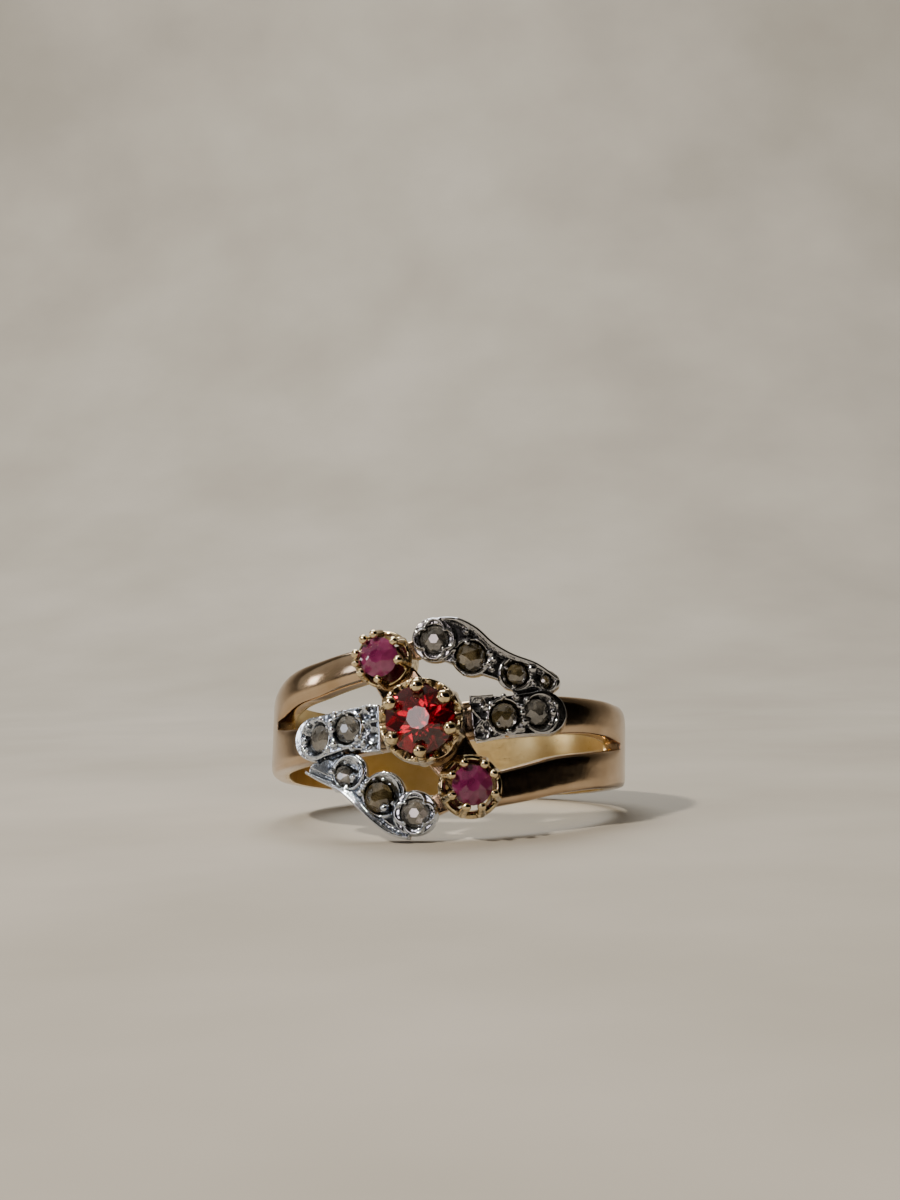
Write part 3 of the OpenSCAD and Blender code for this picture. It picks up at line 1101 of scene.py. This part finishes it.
@dataclass
class Spray:
    """A silver row with its fishtail, and the leaf that curls beside it, with its collet.

    Rounds and ridge draw the leaf, by places across the band and along the finger: rounds of silver besides
    the stones' own, of which the first is the leaf's tip, and its outer edge. Scoops are dents in the
    fishtail (angle, height, radius and depth), engraved are cut lines (angle and height of both ends) and
    threads are raised ones (angles and heights). A ridge wire is how far it runs inside the edge, its radius
    at the tips and what its middle has more.
    """

    node: str
    half_turned: bool
    row: list[Stone]
    leaf: list[Stone]
    rounds: list[Row]
    ridge: list[Point]
    grains: list[Grain]
    scoops: list[tuple[float, float, float, float]]
    engraved: list[tuple[float, float, float, float]]
    threads: list[list[Point]]
    row_top: float = 10.75
    leaf_top: float = 10.45
    ridge_top: float = 10.62
    slab: float = 12.0
    link_share: float = 0.7
    hollow_deep: float = 0.3
    groove: Row = (0.36, 0.04, 0.08)
    edge_wire: Row = (0.1, 0.045, 0.055)
    graver: Point = (0.075, 0.04)
    thread_r: float = 0.05
    rim_r: float = 0.055
    lobe_out: float = 0.52
    lobe_r: float = 0.48
    lobe_swing: int = 92
    wire_r: float = 0.058
    grain: float = 0.038

    def seat(self, stone: Stone, reach: float = 0.0) -> Matrix:
        """Gives a stone's pose on the bench, at a reach."""
        return Seat(stone.angle, stone.height, self.half_turned).matrix(reach)

    def places(self) -> list[Point]:
        """Gives the leaf stones' places across the band and along the finger."""
        return [(s.reach * math.sin(math.radians(s.angle)), s.height) for s in self.leaf]

    def leaf_slabs(self, inset: float) -> list[bpy.types.Object]:
        """Makes upright slabs with the leaf's outline.

        Args:
            inset: How far the rounds stay inside the outline.

        Returns:
            The slabs, which cross each other.
        """
        rounds = [(x, y, s.silver) for (x, y), s in zip(self.places(), self.leaf)] + self.rounds[:1]
        slabs = []
        for x, y, r in rounds + self.rounds[1:]:
            spot = (x, y, self.slab / 2)
            bpy.ops.mesh.primitive_cylinder_add(
                vertices=48, radius=r - inset, depth=self.slab, location=spot
            )
            slabs.append(settle(bpy.context.object))
        for (*a, ra), (*b, rb) in zip(rounds, rounds[1:]):
            near, far = (r * self.link_share - inset for r in (ra, rb))
            slabs.append(prism(link_outline(Vector(a), near, Vector(b), far), 0, self.slab))
        curve = [tuple(p) for p in smooth_rows(self.ridge, 4)]
        slabs.append(prism(curve + self.places()[::-1], 0, self.slab))
        return slabs

    def at(self, angle: float, height: float, reach: float) -> Vector:
        """Gives a place on the bench from its angle, height and reach."""
        return Seat(angle, height, self.half_turned).matrix(reach).translation

    def hollows(self) -> list[tuple[Stone, float, Vector, float]]:
        """Lists the stones that sit in a bright cut hollow.

        Returns:
            Each stone, the reach of the silver's top, and the rim's middle, from the stone, and radius.
        """
        out = []
        for stones, top in ((self.row, self.row_top), (self.leaf[1:], self.leaf_top)):
            for stone in stones:
                angle, height, radius = stone.rim()
                aside = math.radians(angle - stone.angle) * top
                out.append((stone, top, Vector((aside, height - stone.height, 0)), radius))
        return out

    def rims(self) -> list[bpy.types.Object]:
        """Raises a thin thread of silver round each hollow.

        Returns:
            The threads.
        """
        parts = []
        for stone, top, middle, radius in self.hollows():
            parts.append(settle(hoop(middle, radius + 0.04, self.rim_r), self.seat(stone, top - 0.02)))
        return parts

    def dishes(self) -> list[bpy.types.Object]:
        """Makes the cutters of the hollows, each a round that widens from the stone to the rim.

        Returns:
            The cutters.
        """
        parts = []
        for stone, top, middle, radius in self.hollows():
            tight, low, high = stone.width / 2 + 0.02, top - self.hollow_deep, top + 0.05
            spot = (0, 0, low)
            bpy.ops.mesh.primitive_circle_add(vertices=40, radius=tight, location=spot, fill_type="NGON")
            piece = settle(bpy.context.object)
            bpy.ops.object.mode_set(mode="EDIT")
            bpy.ops.mesh.select_all(action="SELECT")
            move = middle + Vector((0, 0, high - low))
            bpy.ops.mesh.extrude_region_move(TRANSFORM_OT_translate={"value": move})
            wider = radius / tight
            centre = middle + Vector((0, 0, high))
            bpy.ops.transform.resize(value=(wider, wider, 1), center_override=centre)
            turn_out()
            parts.append(settle(piece, self.seat(stone)))
        return parts

    def collet(self) -> list[bpy.types.Object]:
        """Raises the four lobed rim of the collet.

        Returns:
            The rim's parts.
        """
        seat, swing = self.seat(self.leaf[0], self.ridge_top + 0.03), self.lobe_swing
        parts = []
        for i in range(4):
            turn = math.radians(90 * i)
            middle = Vector((math.cos(turn), math.sin(turn), 0)) * self.lobe_out
            swings = [turn + math.radians(a) for a in range(-swing, swing + 1, swing // 4)]
            spots = [middle + Vector((math.cos(a), math.sin(a), 0)) * self.lobe_r for a in swings]
            wires = (bar(a, b, self.wire_r, self.wire_r, 10) for a, b in zip(spots, spots[1:]))
            parts += [settle(wire, seat) for wire in wires]
            parts.append(settle(ball(spots[-1] * 0.98, 0.1), seat))
        return parts

    def collet_top(self) -> bpy.types.Object:
        """Makes the cutter that takes the collet down, so that its wire stands up.

        Returns:
            The cutter, a low cylinder.
        """
        stone, height = self.leaf[0], 0.4
        bpy.ops.mesh.primitive_cylinder_add(vertices=48, radius=stone.silver + 0.04, depth=height)
        return settle(bpy.context.object, self.seat(stone, self.ridge_top - 0.05 + height / 2))

    def along_ridge(self, wire: Row, reach: float) -> list[bpy.types.Object]:
        """Runs a wire along the leaf's outer edge, thin at both tips.

        Args:
            wire: The ridge wire.
            reach: Its reach.

        Returns:
            The wire's parts.
        """
        inside, thin, more = wire
        curve = smooth_rows(self.ridge, 5)
        last = len(curve) - 1
        points = []
        for i, (x, y) in enumerate(curve):
            t = curve[min(i + 1, last)] - curve[max(i - 1, 0)]
            t = t / np.linalg.norm(t)
            x, y = x + inside * t[1], y - inside * t[0]
            points.append(self.at(math.degrees(math.asin(x / reach)), y, reach))
        wide = [thin + more * math.sin(math.pi * i / last) for i in range(last + 1)]
        return [bar(a, b, ra, rb, 10) for a, b, ra, rb in zip(points, points[1:], wide, wide[1:])]

    def build(self) -> bpy.types.Object:
        """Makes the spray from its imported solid.

        Returns:
            The spray, on the bench.
        """
        piece = bench_copy(self.node)
        cutters = self.dishes() + self.along_ridge(self.groove, self.leaf_top + 0.02)
        cutters.append(self.collet_top())
        for angle, height, radius, deep in self.scoops:
            round_r = (radius * radius + deep * deep) / (2 * deep)
            cutters.append(ball(self.at(angle, height, self.row_top + round_r - deep), round_r))
        for angle, height, run_angle, run_height in self.engraved:
            a = self.at(angle, height, self.row_top + 0.02)
            b = self.at(run_angle, run_height, self.row_top + 0.02)
            cutters.append(bar(a, b, *self.graver, 8))
        cut(piece, cutters)
        thread = self.along_ridge(self.edge_wire, self.ridge_top - 0.02)
        for line in self.threads:
            spots = [self.at(angle, height, self.row_top - 0.005) for angle, height in line]
            thread += [bar(a, b, self.thread_r, self.thread_r, 10) for a, b in zip(spots, spots[1:])]
        beads = [ball(self.at(g.angle, g.height, g.reach), g.radius) for g in self.grains]
        piece = joined([piece, *self.rims(), *self.collet(), *thread, *beads])
        cast(piece, self.grain, 2)
        return piece


# ---------------------------------------------------------------- the whole ring


@dataclass
class Ring:
    """The whole ring: its parts and their finishes."""

    band: Band = field(default_factory=Band)

    def settings(self) -> dict[str, tuple[Setting, int]]:
        """Lists the three settings.

        Returns:
            Each setting with the seed of its claws, by its name.
        """
        small = {"foot_r": 1.32, "bore_r": 1.16, "notch": 0.0, "claw_knee": (1.20, 11.39)}
        small |= {"claw_tip": (1.13, 11.63), "claw_r": 0.18, "ball_r": 0.235, "root_r": 0.25}
        return {
            "centre_setting": (
                Setting(
                    seat=Seat(-0.5),
                    claws=[-17, 41, 95, 153, 218, 274],
                    foot_r=1.45,
                    bore_r=1.3,
                    rim=(2.14, 11.1),
                    crown=(2.06, 11.9),
                    notch=0.5,
                    claw_foot=(1.89, 10.9),
                    claw_knee=(1.81, 12.2),
                    claw_tip=(1.58, 12.53),
                    claw_r=0.26,
                    ball_r=0.36,
                    root_r=0.34,
                ),
                3,
            ),
            "lower_setting": (
                Setting(
                    seat=Seat(12.3, -3.08),
                    claws=[29, 62, 114, 157, 208, 254, 293, 339],
                    rim=(1.60, 10.55),
                    crown=(1.52, 10.72),
                    claw_foot=(1.40, 10.62),
                    **small,
                ),
                5,
            ),
            "upper_setting": (
                Setting(
                    seat=Seat(12.0, -3.18, True),
                    claws=[16, 45, 95, 169, 221, 280, 310, 352],
                    rim=(1.46, 10.55),
                    crown=(1.40, 10.72),
                    claw_foot=(1.29, 10.62),
                    **small,
                ),
                8,
            ),
        }

    def sprays(self) -> list[Spray]:
        """Lists the two silver sprays.

        Returns:
            The right one and the left one.
        """
        right = Spray(
            node="right_spray",
            half_turned=False,
            row=[
                Stone(21.2, 0.42, 10.72, 1.36, 0.98),
                Stone(30.6, 0.74, 10.72, 1.32, 1.02, (31.4, 0.72, 0.92)),
            ],
            leaf=[
                Stone(1.7, 4.17, 10.55, 1.46, 1.12),
                Stone(11.9, 3.36, 10.42, 1.50, 0.98),
                Stone(25.3, 2.63, 10.42, 1.10, 0.86, (24.4, 2.60, 0.76)),
                Stone(34.0, 2.38, 10.42, 0.60, 0.56, (34.3, 2.38, 0.42)),
            ],
            rounds=[(6.05, 2.40, 0.42), (4.15, 2.55, 0.76)],
            ridge=[
                (0.50, 5.30),
                (1.50, 5.28),
                (2.45, 4.82),
                (3.25, 4.12),
                (4.20, 3.60),
                (5.40, 3.22),
                (6.42, 2.55),
            ],
            grains=[
                Grain(10.5, 4.62, 10.5, 0.13),
                Grain(10.7, 4.05, 10.5, 0.17),
                Grain(16.9, 3.55, 10.5, 0.2),
                Grain(17.9, 3.25, 10.5, 0.18),
                Grain(15.5, 2.95, 10.45, 0.12),
                Grain(7.2, 3.12, 10.48, 0.15),
                Grain(17.6, 2.82, 10.42, 0.16),
                Grain(29.2, 2.92, 10.46, 0.26),
                Grain(29.8, 2.2, 10.45, 0.13),
                Grain(21.2, 2.34, 10.42, 0.1),
                Grain(25.6, 0.92, 10.82, 0.15),
                Grain(25.8, 0.62, 10.82, 0.17),
                Grain(26.4, 0.2, 10.8, 0.2),
                Grain(25.9, -0.12, 10.78, 0.15),
                Grain(24.1, 1.42, 10.76, 0.17),
                Grain(20.6, 1.42, 10.76, 0.14),
                Grain(34.8, 0.76, 10.8, 0.18),
                Grain(35.8, 1.18, 10.76, 0.13),
                Grain(22.2, -0.32, 10.76, 0.14),
                Grain(19.2, 0.0, 10.78, 0.12),
            ],
            scoops=[
                (13.9, 0.97, 0.37, 0.2),
                (15.8, 0.62, 0.33, 0.18),
                (14.9, -0.46, 0.36, 0.2),
                (16.5, -0.12, 0.28, 0.16),
            ],
            engraved=[(17.6, 1.50, 18.8, 1.16), (18.6, 1.56, 19.6, 1.24), (18.2, -0.6, 19.6, -0.36)],
            threads=[
                [(17.8, 1.44), (15.8, 1.38), (11.7, 1.3), (11.6, 0.97), (12.3, 0.72), (13.9, 0.4)]
                + [(15.0, 0.21)],
                [(15.0, 0.21), (13.6, -0.12), (13.0, -0.4), (13.3, -0.72), (15.5, -0.82), (17.6, -0.66)],
            ],
        )
        left = Spray(
            node="left_spray",
            half_turned=True,
            row=[
                Stone(22.3, 0.26, 10.72, 1.38, 0.98),
                Stone(31.6, 0.68, 10.72, 1.36, 1.02, (32.6, 0.66, 0.92)),
            ],
            leaf=[
                Stone(2.4, 4.44, 10.55, 1.46, 1.12),
                Stone(13.2, 3.65, 10.42, 1.50, 0.98, (11.4, 3.52, 1.04)),
                Stone(24.3, 2.60, 10.42, 1.10, 0.80, (22.2, 2.42, 0.80)),
            ],
            rounds=[
                (4.30, 2.38, 0.76),
                (5.75, 2.26, 0.40),
                (2.04, 3.53, 1.15),
                (3.85, 2.36, 0.90),
                (5.10, 2.22, 0.50),
            ],
            ridge=[
                (0.76, 5.72),
                (1.70, 5.50),
                (2.60, 4.90),
                (3.45, 4.15),
                (4.40, 3.36),
                (5.40, 2.90),
                (6.38, 2.38),
            ],
            grains=[
                Grain(36.2, 0.78, 10.78, 0.18),
                Grain(36.9, 1.16, 10.72, 0.14),
                Grain(35.2, -0.02, 10.76, 0.15),
                Grain(31.0, -0.26, 10.76, 0.14),
                Grain(26.2, -0.5, 10.76, 0.16),
                Grain(27.2, -0.1, 10.8, 0.16),
                Grain(26.6, 0.32, 10.82, 0.2),
                Grain(25.8, 1.02, 10.8, 0.2),
                Grain(18.4, 0.77, 10.8, 0.17),
                Grain(17.0, 1.0, 10.76, 0.14),
                Grain(20.3, 1.26, 10.74, 0.15),
                Grain(23.0, -0.56, 10.76, 0.13),
                Grain(20.4, 2.66, 10.5, 0.2),
                Grain(27.4, 2.36, 10.48, 0.17),
                Grain(22.4, 3.14, 10.46, 0.12),
                Grain(18.0, 3.45, 10.48, 0.2),
                Grain(16.9, 3.08, 10.48, 0.13),
                Grain(10.9, 4.2, 10.5, 0.22),
            ],
            scoops=[
                (14.9, -0.72, 0.36, 0.2),
                (16.8, -0.38, 0.3, 0.16),
                (14.2, 0.62, 0.42, 0.12),
                (16.0, 0.3, 0.26, 0.12),
            ],
            engraved=[
                (18.9, 1.05, 16.6, 0.6),
                (17.9, 1.42, 15.0, 0.95),
                (16.4, 1.5, 13.6, 1.05),
                (15.0, 1.4, 12.8, 1.1),
            ],
            threads=[
                [(18.4, -0.78), (16.0, -0.86), (13.0, -0.84), (12.6, -0.1), (12.1, 1.38), (15.0, 1.44)]
                + [(17.5, 1.4)],
                [(12.6, -0.14), (14.6, -0.1), (16.2, 0.0)],
            ],
        )
        return [right, left]

    def build(self) -> None:
        """Builds and dresses every piece of the ring."""
        gold = PolishedGold().material()
        # The settings and the silver are darker in their hollows by tarnish and by painted shade, and their
        # bright high places carry a painted highlight.
        cast_gold = WornMetalPaintedLight(
            "old cast gold with painted shade and highlight", "#E4D0A6", "#5F4A2B", "#120C06", rubbed_and_highlit=0.53, roughness=(0.08, 0.36)
        ).material()
        dark = WornMetalPaintedLight(
            "oxidised silver with painted shade and highlight", "#B9BABD", "#57585D", "#0D0D0F", roughness=(0.1, 0.46)
        ).material()
        bright = WornMetalPaintedLight(
            "bright silver with painted shade and highlight", "#D6DEE9", "#626A77", "#0F1115", roughness=(0.08, 0.32)
        ).material()
        dress(self.band.build(), "band", gold, "gold_frame")
        settings = self.settings()
        for name, (setting, seed) in settings.items():
            dress(setting.build(seed), name, cast_gold, "gold_frame")
        right, left = self.sprays()
        pinks = [settings[name][0].seat for name in ("upper_setting", "lower_setting")]
        dress(LeafBacks().build([right, left], pinks), "leaf_backs", gold, "gold_frame")
        dress(right.build(), "right_silver", dark, "right_spray")
        dress(left.build(), "left_silver", bright, "left_spray")
        self.dress_stones()

    def dress_stones(self) -> None:
        """Gives every stone its finish."""
        ruby = CutStone("clear ruby", "#A80622", "#860418", Clarity.CLEAR, 1.76, 2.0, 0.28).material()
        pink = CutStone("cloudy pink ruby", "#963C6B", "#6A1B48", Clarity.CLOUDY, 1.76, 0.7).material()
        grey = CutStone("grey rose diamond", "#A09C92", "#45433D", Clarity.SLEEPY, 2.42, 0.5).material()
        brown = CutStone("brown rose diamond", "#9A8B66", "#42391F", Clarity.SLEEPY, 2.42, 0.5).material()
        brownish = {
            "right_leaf_stone_2",
            "right_leaf_stone_3",
            "right_leaf_stone_4",
            "right_row_stone_1",
            "left_leaf_stone_2",
        }
        for name, node in frame["nodes"].items():
            if "stone" in name:
                finish = brown if name in brownish else grey
            elif name == "centre_ruby":
                finish = ruby
            elif name.endswith("_ruby"):
                finish = pink
            else:
                continue
            node.material_slots[0].material = finish
            log.info("%s: %s", name, finish.name)


# ---------------------------------------------------------------- the studio


@dataclass(frozen=True)
class Lamp:
    """A square soft lamp that looks at the ring.

    Its azimuth is 0 in front and 90 on the right, and its elevation is from the floor, both in degrees. It
    hangs so far away and is so wide, in metres, and its power is in watts.
    """

    azimuth: float
    elevation: float
    away: float
    size: float
    power: float
    tint: str

    def hang(self) -> None:
        """Hangs the lamp."""
        a, e = math.radians(self.azimuth), math.radians(self.elevation)
        back = Vector((math.sin(a) * math.cos(e), -math.cos(a) * math.cos(e), math.sin(e)))
        looks_at = Vector((0, -0.004, 0.006))
        bpy.ops.object.light_add(type="AREA", location=back * self.away + looks_at)
        lamp = bpy.context.object
        lamp.rotation_euler = (-back).to_track_quat("-Z", "Y").to_euler()
        lamp.data.size = self.size
        lamp.data.energy = self.power
        lamp.data.color = linear(self.tint)[:3]


@dataclass(frozen=True)
class Studio:
    """Pale floor and sweep, soft lights, and the camera at the photograph's angle.

    The floor's sizes are in metres. The camera's turn is its pitch, yaw and roll in degrees to the bench, and
    its shift and distance are in millimetres. The bright side is where the room is bright, as a direction.
    """

    floor_size: float = 1.2
    floor_middle: float = -0.35
    sweep_height: float = 0.7
    sweep_bend: float = 0.16
    lamps: tuple[Lamp, ...] = (
        Lamp(-93, 9, 0.26, 0.04, 0.036, "#FFFAF6"),
        Lamp(-160, 60, 0.3, 0.2, 0.95, "#FFFFFF"),
        Lamp(-59, 14, 0.28, 0.06, 0.04, "#F3F5FF"),
        Lamp(-8.0, 17.6, 0.24, 0.05, 0.038, "#FFECEA"),
        Lamp(-38, 43, 0.3, 0.02, 1.0, "#FFF3E4"),
    )
    bright_side: Row = (-0.45, 0.60, 0.66)
    camera_turn: Row = (-10.39, -6.51, -1.19)
    camera_shift: Point = (-0.04, -7.97)
    camera_away: float = 99.06
    lens: float = 72.0

    def floor(self) -> None:
        """Lays the floor and bends it up behind the ring."""
        bpy.ops.mesh.primitive_plane_add(size=self.floor_size, location=(0, self.floor_middle, 0))
        piece = settle(bpy.context.object)
        piece.data.polygons[0].select = False
        for vertex in piece.data.vertices:
            vertex.select = vertex.co.y > 0
        for edge in piece.data.edges:
            edge.select = all(piece.data.vertices[k].select for k in edge.vertices)
        bpy.ops.object.mode_set(mode="EDIT")
        bpy.ops.mesh.extrude_edges_move(TRANSFORM_OT_translate={"value": (0, 0, self.sweep_height)})
        bpy.ops.object.mode_set(mode="OBJECT")
        change(piece, "BEVEL", width=self.sweep_bend, segments=16, limit_method="ANGLE")
        bpy.ops.object.shade_smooth()
        piece.name = "floor"
        piece.data.materials.append(PaleCloth().material())

    def world(self) -> None:
        """Surrounds the ring with a room that is bright above, behind and on the left, and dark elsewhere."""
        world = bpy.data.worlds.new("room")
        bpy.context.scene.world = world
        world.use_nodes = True
        tree = world.node_tree
        tree.nodes.clear()
        where = add(tree, "TexCoord").outputs["Generated"]
        toward = add(tree, "VectorMath", {0: where, 1: self.bright_side}, operation="DOT_PRODUCT")
        shades = {0.0: "#070605", 0.14: "#0F0D0B", 0.3: "#7A746B", 0.9: "#B7B2A9"}
        shade = add(tree, "ValToRGB", {"Fac": toward.outputs["Value"]}, shades)
        back = add(tree, "Background", {"Color": shade, "Strength": 1.0})
        add(tree, "OutputWorld", {"Surface": back})

    def camera(self) -> None:
        """Puts the camera where the photograph was taken from."""
        pitch, yaw, roll = (math.radians(a) for a in self.camera_turn)
        turn = Matrix.Rotation(roll, 3, "Z") @ Matrix.Rotation(pitch, 3, "X") @ Matrix.Rotation(yaw, 3, "Y")
        to_bench = Matrix(((1, 0, 0), (0, 0, -1), (0, 1, 0)))
        aside, up = self.camera_shift
        place = turn.transposed() @ Vector((-aside, -up, self.camera_away))
        axes = to_bench @ turn.transposed()
        pose = Matrix.Translation(to_bench @ place) @ axes.to_4x4()
        bpy.ops.object.camera_add()
        camera = bpy.context.object
        place, turned_by, _ = (LAID @ pose).decompose()
        camera.location = place
        camera.rotation_euler = turned_by.to_euler()
        camera.data.lens = self.lens
        camera.data.sensor_width = 36
        camera.data.sensor_fit = "HORIZONTAL"
        camera.data.clip_start, camera.data.clip_end = 0.002, 5
        bpy.context.scene.camera = camera

    def build(self) -> None:
        """Sets the floor, the lights, the room and the camera."""
        self.floor()
        for lamp in self.lamps:
            lamp.hang()
        self.world()
        self.camera()


def main() -> None:
    """Builds the ring and its studio, and logs each dressed piece's faces."""
    logging.basicConfig(level=logging.INFO, format="%(relativeCreated)d ms %(message)s")
    Studio().build()
    Ring().build()


if __name__ == "__main__":
    main()
